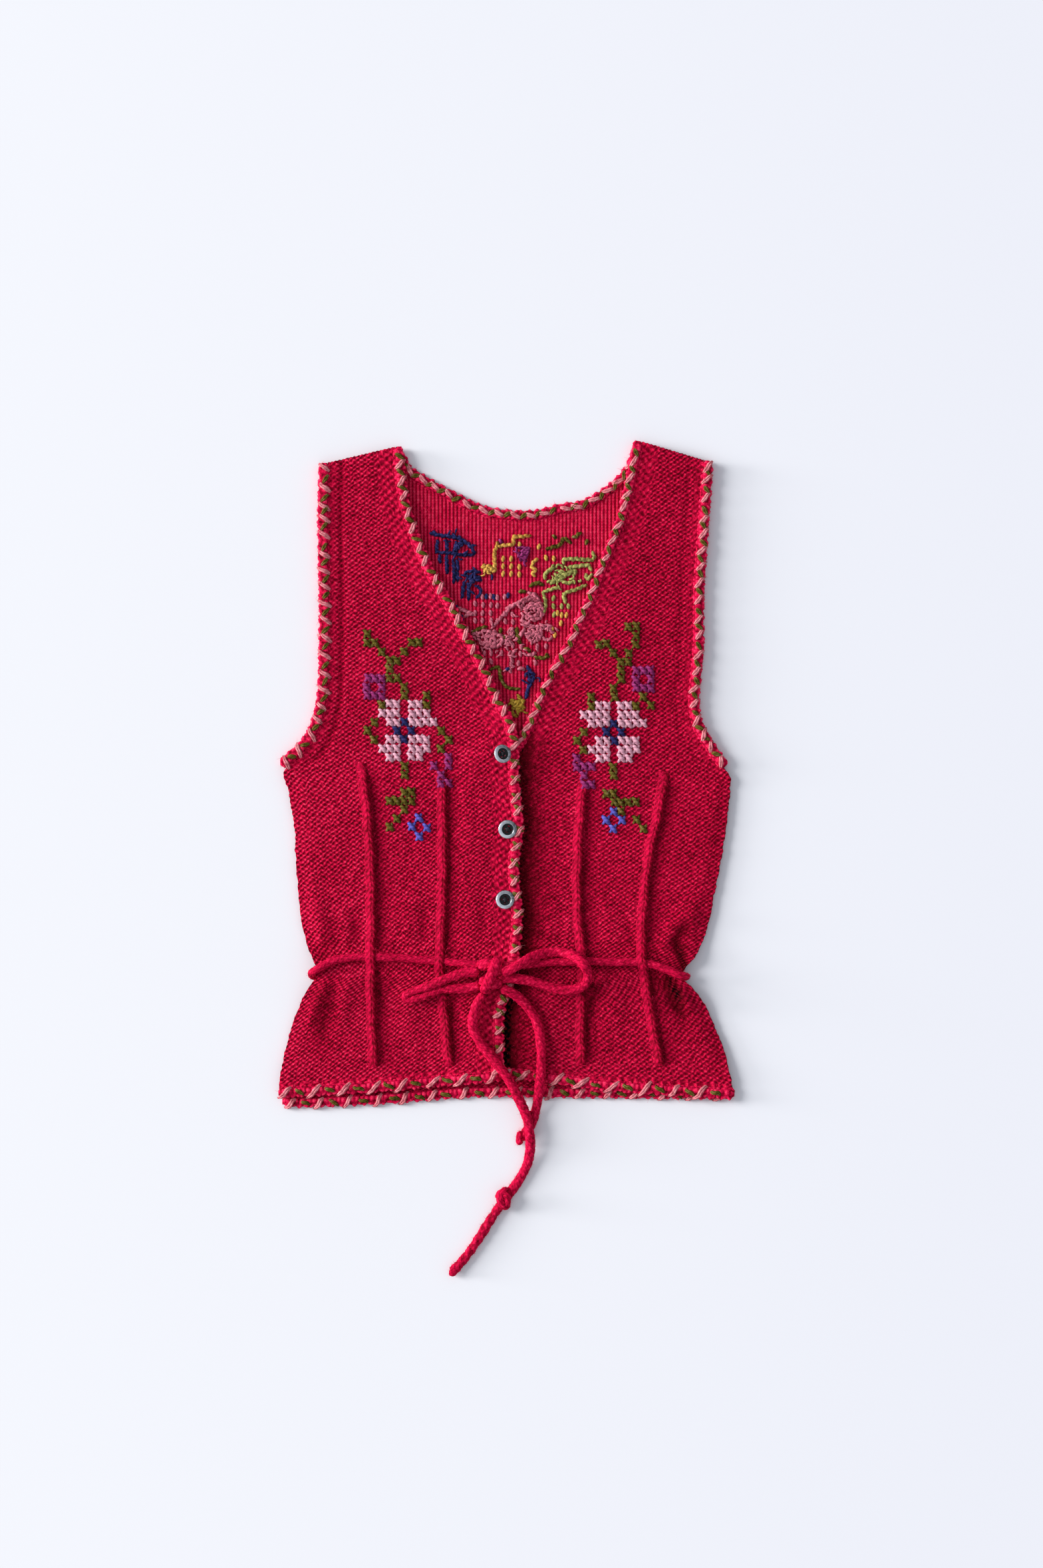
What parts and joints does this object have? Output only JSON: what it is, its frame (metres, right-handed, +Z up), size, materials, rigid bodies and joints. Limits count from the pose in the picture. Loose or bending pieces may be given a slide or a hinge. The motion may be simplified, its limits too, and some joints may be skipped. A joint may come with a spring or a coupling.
{
  "type": "hand-knitted vest",
  "caption": "Sleeveless V-neck knitted vest laid flat, with a buttoned lap front, crocheted edgings, chain ribs and a cord tied in a bow at the waist.",
  "frame": {"origin": "on the table under the middle of the vest, measured without the tie", "axes": "+X to the right as laid out, +Y from hem to neck, +Z up from the table; the vest's front faces up"},
  "size_m": [0.3628, 0.6662, 0.027],
  "materials": {
    "knit_wool": "matte hand-knitted wool, purl side out",
    "edging_wool": "matte crocheted wool with pink and olive whip stitches",
    "cord_wool": "matte twisted wool cord",
    "button_shell": "polished grey shell look, four holes"
  },
  "bodies": {
    "root": {"back_panel": "knit_wool", "front_over": "knit_wool", "front_under": "knit_wool", "edging_front_over": "edging_wool", "edging_front_under": "edging_wool", "edging_hem_over": "edging_wool", "edging_hem_under": "edging_wool", "edging_hem_back": "edging_wool", "edging_armhole_left_front": "edging_wool", "edging_armhole_right_front": "edging_wool", "edging_armhole_left_back": "edging_wool", "edging_armhole_right_back": "edging_wool", "edging_neck_back": "edging_wool", "rib_1": "knit_wool", "rib_2": "knit_wool", "rib_3": "knit_wool", "rib_4": "knit_wool", "button_1": "button_shell", "button_2": "button_shell", "button_3": "button_shell", "tie_left": "cord_wool", "tie_right": "cord_wool", "tie_back": "cord_wool", "tie_loop_left": "cord_wool", "tie_loop_right": "cord_wool", "tie_tail_long": "cord_wool", "tie_tail_short": "cord_wool", "tie_knot": "cord_wool"}
  },
  "joints": []
}
